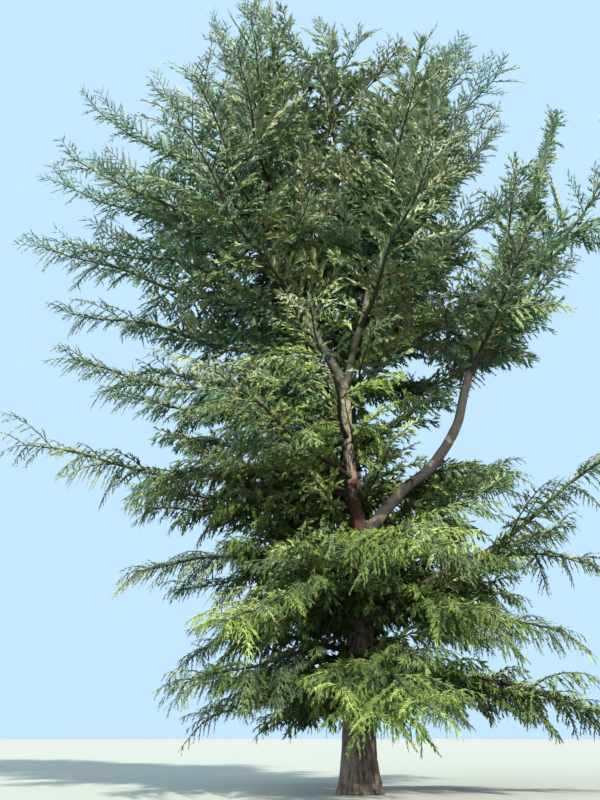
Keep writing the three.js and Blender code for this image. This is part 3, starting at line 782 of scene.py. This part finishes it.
def ended_within_reach(twigs):
    """The same twigs, of which those that would go out of reach end short of there."""
    ends = np.ones(len(twigs["seed"]))
    for share in np.arange(1, 0.2, -SHORTENED_BY):
        ends[out_of_reach(along_twig(twigs, np.full(len(ends), share)))] = share - SHORTENED_BY
    return {**twigs, "length": twigs["length"] * ends}


def kept_within_reach(twigs):
    """Those of the twigs that end within reach."""
    return picked(twigs, ~out_of_reach(along_twig(twigs, np.ones(len(twigs["seed"])))))


# Twigs and shoots, carried on from the solids' rule

# Twigs between the solids' own, and small ones nearer the stem and at the bough's end: shares of the bough
# where they leave it, metres from one to the next, and size as a share of the solids' own
FILL_SIZE = (0.35, 0.85)
INNER_TWIGS = Form(span=(0.07, 0.17), gap_hanging=0.3, gap=0.5, size=0.65)
END_TWIGS = Form(places=(0.925, 0.95, 0.975, 0.99), size=0.7)
HANGING = 0.3  # hang of twigs past which a bough counts as hanging
PAST_WOOD = 0.05  # share of a bough from the end of its bare wood to the first twig
NEARLY_UPRIGHT = 0.25  # level part of a bough's direction below which its twigs leave it to the north
# Twigs' arch level and hung, how their lengths vary, and their flat sides tilt in radians, how their angles
# vary in degrees, and the turn from one to the next in radians on a bough that goes on from its stem's end
TWIG = Form(arch=(0.05, 0.16), length=(0.88, 1.14), tilt=(0.2, 1.2), angle_by=8, turn=1.25)
PROFILE = Form(foot=0.55, swell=1.3, fall=0.56)  # how twigs' length goes along a bough
TWIG_ENDS = 0.91  # share of the solids' twig at which a twig ends, so that its side twigs keep to the reach
# Side twigs: the share of the twig where they start, the share they take up and how far they stray, their
# angle at its root and at its tip in degrees, how far they leave its flat in the crown's heart and outside,
# how far they drop and hang, their share of its length at its root and what that loses, and their arch
SIDE_TWIG = Form(first=0.08, along=0.82, stray=0.8, angle=(54, 30), angle_by=8,
                 off_flat=(0.9, 0.25), drop=0.1, drop_by=0.15, hang=1.1, share=0.42,
                 share_fall=0.27, length=(0.7, 1.15), within=(0.28, 0.95), arch=(0.04, 0.1))
# Short growth on the boughs' own bark: how far it strays from even gaps, its arch, the share of a bough
# where it ends, its turn in radians, its angle in degrees, its length, and what that loses at the tip
SHORT = Form(stray=0.9, arch=0.05)
SPRAY = Form(end=0.98, turn=2.4, turn_by=0.5, angle=(30, 70), length=(0.3, 0.8), shorter=0.3,
             hang=0.5, tilt=1.5)
SHOOT = Form(end=0.99, turn_by=2.4, angle=(14, 42), length=(0.26, 0.46), foot=0.7)


def twig_rows(bough, t, **rows):
    """Twigs that leave a bough at shares t of its length, as arrays of what each of them is like."""
    shared = {
        "root": bough_point(bough, t),
        "hang": np.full(len(t), bough.hang),
        "outer": bough.out * t,
        "spray": rows["seed"],
    }
    return {**shared, **rows}


def ahead_on(bough, t):
    """Which way a bough runs at shares t of its length."""
    return unit(bough_point(bough, t + AHEAD) - bough_point(bough, t))


def bough_twigs(bough, sizes):
    """The twigs of a bough. Every so many is one of the solids' own, and the others fill in between."""
    leafy = bough.length * (1 - max(TWIG_FIRST, bough.wood))
    n = int(np.clip(round(leafy / TWIG_PITCH), TWIG_FEWEST, TWIG_MOST))
    first = max(TWIG_FIRST, bough.wood + PAST_WOOD)
    pitch = bough.length * (TWIG_LAST - first) / (n - 1)
    fill = max(1, round(pitch / sizes.twig_gap))
    step = np.arange(fill * (n - 1) + 1)
    k = step // fill
    between_own = step % fill
    seed = seed_of(seed_of(bough.seed, "twig", k + 1), "twig_between", between_own)
    side = np.where((k + between_own) % 2 == 1, 1.0, -1.0)
    t = lerp(first, TWIG_LAST, step / (fill * (n - 1)))
    size = np.where(between_own == 0, 1.0, between(seed, 6, *FILL_SIZE))
    inner_gap = INNER_TWIGS.gap_hanging if bough.hang > HANGING else INNER_TWIGS.gap
    inner = np.arange(*INNER_TWIGS.span, inner_gap / bough.length)
    if bough.tip or bough.wood > 0:
        inner = []
    for places, share in ((inner, INNER_TWIGS.size), (END_TWIGS.places, END_TWIGS.size)):
        more = np.arange(len(places))
        t = np.concatenate([t, places])
        seed = np.concatenate([seed, seed_of(bough.seed, "end_twig", more) + int(share * 100)])
        side = np.concatenate([side, np.where(more % 2 == 1, 1.0, -1.0)])
        size = np.concatenate([size, np.full(len(places), share)])
    ahead = ahead_on(bough, t)
    angle = np.radians(lerp(*TWIG_ANGLE, t) + stray(seed, 1, TWIG.angle_by))
    level = np.cross(UP, ahead)
    level[np.linalg.norm(level, axis=1) < NEARLY_UPRIGHT] = (0, 1, 0)
    level = unit(level)
    if bough.tip:
        level = turned_about(level, ahead, TWIG.turn * np.arange(len(t)))
    heading = leaning(ahead, level * side[:, None], angle)
    heading[:, 2] += stray(seed, 2, TWIG_SLOPE) - bough.hang * TWIG_HANG
    heading = unit(heading)
    profile = np.minimum(1, PROFILE.foot + PROFILE.swell * t) * (1 - PROFILE.fall * t**4)
    return twig_rows(
        bough, t,
        seed=seed,
        heading=heading,
        length=bough.spread * TWIG_ENDS * profile * between(seed, 3, *TWIG.length) * size,
        flat=turned_about(np.tile(UP, (len(t), 1)), heading, side * between(seed, 4, *TWIG.tilt)),
        arch=np.full(len(t), TWIG.arch[0] + TWIG.arch[1] * bough.hang),
    )


def numbered(count):
    """For so many side twigs or needles on each twig: the row of each one's twig, and its number there."""
    rows = np.repeat(np.arange(len(count)), count)
    return rows, np.arange(len(rows)) - (np.cumsum(count) - count)[rows]


def side_twigs(twigs, sizes):
    """The side twigs of many twigs, left and right of each by turns."""
    form = SIDE_TWIG
    count = np.maximum(1, np.round(twigs["length"] / sizes.side_gap)).astype(int)
    rows, number = numbered(count)
    parent = picked(twigs, rows)
    seed = seed_of(parent["seed"], "side_twig", number + 1)
    s = form.first + form.along * (number + between(seed, 0, 0, form.stray)) / count[rows]
    ahead = unit(along_twig(parent, s + AHEAD) - along_twig(parent, s))
    across = unit(np.cross(parent["flat"], parent["heading"]))
    side = np.where(number % 2 == 1, 1.0, -1.0)
    angle = np.radians(lerp(*form.angle, s) + stray(seed, 1, form.angle_by))
    heading = leaning(ahead, across * side[:, None], angle)
    off_flat = stray(seed, 2, 1) * lerp(*form.off_flat, np.minimum(1, 2 * parent["outer"]))
    heading += parent["flat"] * off_flat[:, None]
    drop = form.drop + form.hang * parent["hang"] + np.maximum(0, parent["hang"])
    heading[:, 2] -= drop + stray(seed, 5, form.drop_by)
    share = form.share - form.share_fall * s
    return {
        "seed": seed,
        "root": along_twig(parent, s),
        "heading": unit(heading),
        "length": np.clip(parent["length"] * share * between(seed, 3, *form.length), *form.within),
        "flat": parent["flat"],
        "arch": form.arch[0] + form.arch[1] * parent["hang"],
        "hang": parent["hang"],
        "outer": parent["outer"] * ((1 + s) / 2),
        "spray": parent["seed"],
    }


def short_growth(bough, kind, gap, end):
    """Where short growth of a kind leaves a bough: numbers, seeds, shares of the bough, which way the bough
    runs there, and a level direction across it."""
    first = bough.leafy
    number = np.arange(int(bough.length * (end - first) / gap))
    seed = seed_of(bough.seed, kind, number)
    t = first + (number + between(seed, 0, 0, SHORT.stray)) * gap / bough.length
    ahead = ahead_on(bough, t)
    level = np.tile([0.0, 1.0, 0.0], (len(t), 1)) if bough.tip else unit(np.cross(UP, ahead))
    return number, seed, t, ahead, level


def bough_sprays(bough, sizes):
    """Short leafy twigs that leave a bough on all sides and hide its bark."""
    number, seed, t, ahead, level = short_growth(bough, "spray", sizes.spray_gap, SPRAY.end)
    turn = SPRAY.turn * number + stray(seed, 1, SPRAY.turn_by)
    out = turned_about(level, ahead, turn)
    heading = leaning(ahead, out, np.radians(between(seed, 2, *SPRAY.angle)))
    heading[:, 2] -= SPRAY.hang * bough.hang
    heading = unit(heading)
    tilt = stray(seed, 4, SPRAY.tilt)
    return twig_rows(
        bough, t,
        seed=seed,
        heading=heading,
        length=between(seed, 3, *SPRAY.length) * (1 - SPRAY.shorter * t),
        flat=turned_about(np.tile(UP, (len(t), 1)), heading, tilt),
        arch=np.full(len(t), SHORT.arch),
    )


def bough_shoots(bough, sizes):
    """Leafy shoots that lie along a bough and coat its bark, most of them on its upper side."""
    _, seed, t, ahead, level = short_growth(bough, "shoot", sizes.coat_gap, SHOOT.end)
    turn = math.pi / 2 + SHOOT.turn_by * (chance(seed, 1) + chance(seed, 6) - 1)
    out = turned_about(level, ahead, turn)
    return twig_rows(
        bough, t,
        seed=seed,
        root=bough_point(bough, t) + out * (SHOOT.foot * bough_radius(bough, t))[:, None],
        heading=unit(leaning(ahead, out, np.radians(between(seed, 2, *SHOOT.angle)))),
        length=between(seed, 3, *SHOOT.length),
        flat=out,
        arch=np.full(len(t), SHORT.arch),
    )


# Needles

TONES = 8  # colours of needles from deep to light, each in every tint
TINTS = 3
# How light needles are, in tones, partly painted light and shade: what they gain by standing out (newer
# growth, and painted shade in the heart of the crown), by rising (painted light on upper sides), by height
# (painted sunlight on the top) and by chance for each spray and twig; patches of so many metres, and by how
# much; and the lightest tone at the ground, and the metres up to each lighter one, darker towards the
# bottom
LIGHT = Form(least=0.4, out=6, rise=1.2, height=0.1, spray=1.1, twig=0.5)
LIGHT_PATCHES = ((1.6, 1.4), (0.5, 0.7))
LIGHTEST = Form(ground=4.7, climb=6)
# A share of the hanging sprays takes one dark blue-green tone, as painted shade on hanging sprays, unless
# their needles are light
HANGING_SPRAYS = Form(rising=-0.1, share=0.35, tone=2, light=6)
# Needles take the second tint and the third from these heights, where metres out from the trunk and to the
# east or west add to the height, and so do patches of so many metres, and chance for each spray. The tints
# partly paint sun and shade: the first two are more olive, as painted sunlight, the third is bluer, as
# painted shade high up and out at the sides
TINTED_FROM = (11, 24)
TINT = Form(east=1.5, off=0.4, patch=2.5, patch_by=4, spray=6)
# Light needles keep the olive tints longer, as painted sunlight, and dark ones take the bluer third tint
# sooner, as painted shade
LIGHT_LATER = Form(tone=5, by=8)  # needles from this tone up take the third tint so much later
DARK_SOONER = Form(tone=2, height=9)  # and those down to this one take it instead of the second
# In the heart of the crown needles are larger, as they stand for more: how far out that fades, and ends
INNER = Form(fades=0.2, ends=0.55, larger=2.1)
# Needles: the fewest on a twig, how far they stray from even gaps, the last one's foot and end as shares
# of the twig, their turn up and down and their lean in radians, how lengths vary, and what the tip loses
NEEDLE = Form(fewest=4, stray=0.5, last=0.97, end=1.03, turn_by=1.2, lean=(0.3, 0.75),
              length=(0.7, 1.15), shorter=0.4, closer=0.5, narrower=0.3)
TWIG_TUBE = {"rings": 4, "sides": 3, "radius": 0.009, "taper": 0.006}
SIDE_TUBE = {"rings": 1, "sides": 3, "radius": 0.005, "taper": 0.004}
TUBE_NARROWS = 0.9  # share of its radius that a twig loses from its root to its tip
OFF_LINE = 0.1  # added to a twig's flat side, so that it never lies in line with the twig


def needle_tones(twig, place):
    """The colour and tint of needles on their twigs: deep inside, as painted shade; light outside, as newer
    growth, and on top, as painted light; and tinted by height and side, bluer as painted shade.
    """
    rising = twig["heading"][:, 2]
    east, north, height = place.T
    # Lighter outward, partly newer growth and partly painted shade in the heart, and lighter on rising
    # shoots, as painted light on their upper sides
    light = LIGHT.out * twig["outer"] + LIGHT.least + LIGHT.rise * rising
    # Lighter higher up, as painted sunlight on the top of the crown
    light += LIGHT.height * height
    patches = [by * noise(place / size, NOISE.light + k) for k, (size, by) in enumerate(LIGHT_PATCHES)]
    light += patches[0] + patches[1]
    light += stray(twig["spray"], 8, LIGHT.spray) + stray(twig["seed"], 8, LIGHT.twig)
    # The lightest tone is capped near the ground, so needles are darker towards the bottom
    lightest = np.minimum(TONES - 1, np.round(LIGHTEST.ground + height / LIGHTEST.climb))
    tone = np.clip(np.round(light), 0, lightest)
    # Hanging sprays take the dark blue-green tone, as painted shade
    hanging = (rising < HANGING_SPRAYS.rising) & (chance(twig["spray"], 9) < HANGING_SPRAYS.share)
    tone = np.where(hanging & (tone < HANGING_SPRAYS.light), HANGING_SPRAYS.tone, tone)
    # The bluer tint comes sooner out from the trunk and at the east and west sides, as painted shade
    high = height + TINT.east * np.abs(east) + TINT.off * np.hypot(east, north)
    high += TINT.patch_by * noise(place / TINT.patch, NOISE.tint) + stray(twig["spray"], 7, TINT.spray)
    third = high > TINTED_FROM[1] + LIGHT_LATER.by * (tone >= LIGHT_LATER.tone)
    tint = (high > TINTED_FROM[0]).astype(int) + third
    # Dark needles take the bluer tint, as painted shade
    dark = (tone <= DARK_SOONER.tone) & (tint == 1) & (height > DARK_SOONER.height)
    return tone + TONES * np.where(dark, 2, tint)


def needle_triangles(twigs, sizes):
    """The needles of every twig, which stand forward out of it all round, and the colour of each."""
    form = NEEDLE
    count = np.maximum(form.fewest, np.round(twigs["length"] / sizes.needle_gap)).astype(int)
    rows, number = numbered(count)
    twig = picked(twigs, rows)
    seed = twig["seed"] * NEEDLE_SEEDS + number
    foot = np.clip((number + between(seed, 0, 0, form.stray)) / count[rows], 0, form.last)
    heart = np.clip((twig["outer"] - INNER.fades) / (INNER.ends - INNER.fades), 0, 1)
    larger = lerp(INNER.larger, 1, heart)
    near = along_twig(twig, foot)
    wide = sizes.needle_foot * larger * (1 - form.narrower * foot) / twig["length"]
    far = along_twig(twig, np.minimum(foot + wide, form.end))
    along = unit(far - near)
    across = unit(np.cross(twig["flat"], along))
    aside = np.cross(along, across)
    turn = np.where(number % 2 == 1, 0.0, math.pi) + stray(seed, 1, form.turn_by)
    lean = between(seed, 2, *form.lean) * (1 - form.closer * foot**2)
    stand = leaning(along, leaning(across, aside, turn), lean)
    reach = sizes.needle * larger * between(seed, 3, *form.length) * (1 - form.shorter * foot)
    tip = (near + far) / 2 + stand * reach[:, None]
    return np.stack([near, far, tip], axis=1).reshape(-1, 3), needle_tones(twig, tip)


def twig_tubes(twigs, rings, sides, radius, taper):
    """Bark tubes for many twigs, each from its root to near its tip."""
    s = np.linspace(0, 1, rings + 1)
    points = np.stack([along_twig(twigs, np.full(len(twigs["seed"]), share)) for share in s], axis=1)
    foot = radius + twigs["length"] * taper
    radii = foot[:, None] * (1 - TUBE_NARROWS * s[None, :-1])
    return tubes(points, radii, twigs["flat"] + OFF_LINE, sides), tube_faces(len(points), rings, sides)


def joined(groups):
    """Points and faces of several meshes as one."""
    starts = np.cumsum([0] + [len(verts) for verts, _ in groups[:-1]])
    return (
        np.vstack([verts for verts, _ in groups]),
        np.vstack([faces + start for (_, faces), start in zip(groups, starts)]),
    )


def together(groups):
    """Several groups of twigs as one."""
    return {key: np.concatenate([group[key] for group in groups]) for key in groups[0]}


def grown(boughs, sizes):
    """Twigs, side twigs, and all that needles stand on, of some boughs."""
    twigs = ended_within_reach(together([bough_twigs(bough, sizes) for bough in boughs]))
    sides = together([side_twigs(twigs, sizes)] + [bough_sprays(bough, sizes) for bough in boughs])
    shoots = together([bough_shoots(bough, sizes) for bough in boughs])
    sides = kept_within_reach(sides)
    return twigs, sides, together([twigs, sides, kept_within_reach(shoots)])


# Materials

def new_material(name, roughness, shine, colour=None):
    """A material with one surface shader, and its nodes, links and shader."""
    material = bpy.data.materials.new(name)
    material.use_nodes = True
    nodes = material.node_tree.nodes
    shader = nodes["Principled BSDF"]
    shader.inputs["Roughness"].default_value = roughness
    shader.inputs["Specular IOR Level"].default_value = shine
    if colour is not None:
        shader.inputs["Base Color"].default_value = (*colour, 1)
    return material, nodes, material.node_tree.links, shader


def plain_material(name, colour):
    """One matt colour all over."""
    return new_material(name, roughness=0.8, shine=0.12, colour=colour)[0]


RAMP = (0.36, 0.62)  # noise at which the furrows' colour ends, and at which the ridges' starts
PATCH_EDGES = (0.62, 0.72)  # noise at which patches start and at which they are full, where they are few
PATCHES_GROW = 0.3  # how far those edges go down for patches all over
# Each bark's colours in the furrows, on the ridges and in patches, its scale, and how much of it is patches
BARKS = {
    "bark_trunk": ("bark_furrow", "bark_ridge", "bark_pale", 1, 0),
    "bark_red": ("bark_furrow", "bark_red", "bark_ridge", 1.6, 0.3),
    "bark_leaders": ("bark_ridge", "bark_pale", "bark_red", 2, 0),
    # The limbs' ridges, and the boughs' patches, take that limb grey, which is darkened as painted shade
    "bark_limbs": ("bark_furrow", "bark_limb", "bark_ridge", 2.2, 0.05),
    "bark_boughs": ("bark_furrow", "bough", "bark_limb", 2.2, 0.1),
    "bark_twigs": ("bough", "twig", "bark_furrow", 6, 0.1),
}


def bark_material(name, colours):
    """Furrowed bark: dark furrows and light ridges along the stem, with patches of another colour."""
    *paints, scale, patch_share = BARKS[name]
    low, high, patch = (getattr(colours, colour) for colour in paints)
    material, nodes, links, shader = new_material(name, roughness=0.9, shine=0.2)

    def node(kind, **values):
        new = nodes.new("ShaderNode" + kind)
        for key, value in values.items():
            new.inputs[key.replace("_", " ")].default_value = value
        return new

    def join(start, output, end, entry):
        links.new(start.outputs[output], end.inputs[entry])

    place = node("TexCoord")
    stretch = node("Mapping", Scale=(1, 1, 0.28))
    join(place, "Object", stretch, "Vector")

    ridges = node("TexNoise", Scale=9 * scale, Detail=7, Roughness=0.65)
    join(stretch, "Vector", ridges, "Vector")
    ramp = node("ValToRGB")
    for stop, position, colour in zip(ramp.color_ramp.elements, RAMP, (low, high)):
        stop.position = position
        stop.color = (*colour, 1)
    join(ridges, "Fac", ramp, "Fac")

    patches = node("TexNoise", Scale=1.1 * scale, Detail=3)
    join(place, "Object", patches, "Vector")
    first, full = (edge - patch_share * PATCHES_GROW for edge in PATCH_EDGES)
    where = node("MapRange", From_Min=first, From_Max=full)
    join(patches, "Fac", where, "Value")
    tint = node("Mix")
    tint.data_type = "RGBA"
    tint.inputs["B"].default_value = (*patch, 1)
    join(where, "Result", tint, "Factor")
    join(ramp, "Color", tint, "A")
    join(tint, "Result", shader, "Base Color")

    cracks = node("TexVoronoi", Scale=16 * scale)
    cracks.feature = "DISTANCE_TO_EDGE"
    join(stretch, "Vector", cracks, "Vector")
    bump = node("Bump", Strength=0.7, Distance=0.012)
    join(ridges, "Fac", bump, "Height")
    fine = node("Bump", Strength=0.5, Distance=0.006)
    join(cracks, "Distance", fine, "Height")
    join(bump, "Normal", fine, "Normal")
    join(fine, "Normal", shader, "Normal")
    return material


# Operators

class CEDAR_OT_stems(bpy.types.Operator):
    """Bark of the trunk, the leaders and the cranked limb"""

    bl_idname = "cedar.stems"
    bl_label = "Stems"

    def execute(self, context):
        sizes = context.scene.cedar_sizes
        colours = context.scene.cedar_colours
        names = ("bark_trunk", "bark_red", "bark_leaders", "bark_limbs")
        grey, red, pale, limbs = (bark_material(name, colours) for name in names)
        barks = {"trunk": [grey, red, pale], "leader_west": [pale], "leader_east": [pale]}
        for name in STEMS:
            verts, faces = stem_bark(name, sizes)
            tones = bark_tones(verts, faces) if name == "trunk" else None
            piece = make_piece(name + "_bark", verts, faces, barks.get(name, [limbs]), tones)
            settle(piece, [name])
        return {"FINISHED"}


class CEDAR_OT_boughs(bpy.types.Operator):
    """Bark of the boughs, from the stems out to the tips of the crown"""

    bl_idname = "cedar.boughs"
    bl_label = "Boughs"

    def execute(self, context):
        sizes = context.scene.cedar_sizes
        dark = bark_material("bark_boughs", context.scene.cedar_colours)
        for part, boughs in crown_boughs().items():
            verts, faces = joined([bough_bark(bough, sizes) for bough in boughs])
            piece = make_piece("boughs_" + part, verts, faces, [dark])
            own = [bough for bough in boughs if bough.node]
            bare = ["bough_" + bough.node for bough in own if bough.wood > 0]
            settle(piece, bare or ["mass_" + bough.node for bough in own])
        return {"FINISHED"}


class CEDAR_OT_foliage(bpy.types.Operator):
    """Twigs and sprays of needles of every mass of the crown"""

    bl_idname = "cedar.foliage"
    bl_label = "Twigs and needles"

    def execute(self, context):
        sizes = context.scene.cedar_sizes
        colours = context.scene.cedar_colours
        twig_bark = bark_material("bark_twigs", colours)
        # Every needle colour in every tint: darker, lighter, bluer and more olive copies that partly paint
        # shade and sunlight
        tones = [
            plain_material(f"needles_{tint}_{k}", [
                a * b for a, b in zip(getattr(colours, f"needle_{k}"), getattr(colours, f"tint_{tint}"))
            ])
            for tint in range(TINTS) for k in range(TONES)
        ]
        for part, boughs in crown_boughs().items():
            masses = ["mass_" + bough.node for bough in boughs if bough.node]
            twigs, sides, leafy = grown(boughs, sizes)
            verts, faces = joined([twig_tubes(twigs, **TWIG_TUBE), twig_tubes(sides, **SIDE_TUBE)])
            settle(make_piece("twigs_" + part, verts, faces, [twig_bark]), masses)
            points, tone = needle_triangles(leafy, sizes)
            faces = np.arange(len(points)).reshape(-1, 3)
            needles = make_piece("needles_" + part, points, faces, tones, tone, smooth=False)
            settle(needles, masses)
        return {"FINISHED"}


# Stage

# Each lamp's side of the tree, its strength, its width in degrees, and its colour
SUN = Form(side=(0.5, -0.7, 0.66), strength=10.5, angle=2, colour=(1, 0.95, 0.84))
FILL = Form(side=(-0.7, -0.6, 0.4), strength=4.8, angle=80, colour=(0.78, 0.9, 1))
SKY_STRENGTH = 1.12
FLOOR = Form(radius=200, sides=96)


class CEDAR_OT_stage(bpy.types.Operator):
    """Plain floor, soft light, and the camera"""

    bl_idname = "cedar.stage"
    bl_label = "Stage"

    def execute(self, context):
        scene = context.scene
        colours = scene.cedar_colours
        corner = np.arange(FLOOR.sides)
        angle = corner * TWO_PI / FLOOR.sides
        rim = FLOOR.radius * np.stack([np.cos(angle), np.sin(angle), 0 * angle], axis=-1)
        floor = make_piece("floor", rim, corner[None], [plain_material("floor", colours.floor)])
        world = bpy.data.worlds.new("backdrop")
        world.use_nodes = True
        sky = world.node_tree.nodes["Background"].inputs
        sky["Color"].default_value = (*colours.backdrop, 1)
        sky["Strength"].default_value = SKY_STRENGTH
        scene.world = world
        scene.view_settings.view_transform = "Standard"
        for name, light in (("key_light", SUN), ("fill_light", FILL)):
            lamp = bpy.data.lights.new(name, "SUN")
            lamp.energy = light.strength
            lamp.angle = math.radians(light.angle)
            lamp.color = light.colour
            lit = bpy.data.objects.new(name, lamp)
            lit.rotation_euler = Vector(light.side).to_track_quat("Z", "Y").to_euler()
            scene.collection.objects.link(lit)
        camera = bpy.data.objects.new("camera", bpy.data.cameras.new("camera"))
        camera.data.lens = CAMERA.lens
        camera.data.sensor_width = CAMERA.sensor
        camera.data.clip_end = CAMERA.far
        camera.location = CAMERA.place
        camera.rotation_euler = (math.radians(90 + CAMERA.pitch), 0, math.radians(CAMERA.yaw))
        scene.collection.objects.link(camera)
        scene.camera = camera
        return {"FINISHED"}


class CEDAR_PT_panel(bpy.types.Panel):
    """Sizes, colours and pieces of the tree"""

    bl_idname = "CEDAR_PT_panel"
    bl_label = "Cedar"
    bl_space_type = "VIEW_3D"
    bl_region_type = "UI"
    bl_category = "Cedar"

    def draw(self, context):
        for group in (context.scene.cedar_sizes, context.scene.cedar_colours):
            for name in group.__annotations__:
                self.layout.prop(group, name)
        for operator in OPERATORS:
            self.layout.operator(operator.bl_idname)


OPERATORS = (CEDAR_OT_stems, CEDAR_OT_boughs, CEDAR_OT_foliage, CEDAR_OT_stage)
CLASSES = (CedarSizes, CedarColours, *OPERATORS, CEDAR_PT_panel)


def register():
    """Makes the panel, the operators and their sizes and colours known."""
    for each in CLASSES:
        bpy.utils.register_class(each)
    bpy.types.Scene.cedar_sizes = PointerProperty(type=CedarSizes)
    bpy.types.Scene.cedar_colours = PointerProperty(type=CedarColours)


def unregister():
    """Takes them away again."""
    del bpy.types.Scene.cedar_colours
    del bpy.types.Scene.cedar_sizes
    for each in reversed(CLASSES):
        bpy.utils.unregister_class(each)


def main():
    """Makes every piece."""
    register()
    bpy.ops.cedar.stems()
    bpy.ops.cedar.boughs()
    bpy.ops.cedar.foliage()
    bpy.ops.cedar.stage()


if __name__ == "__main__":
    main()
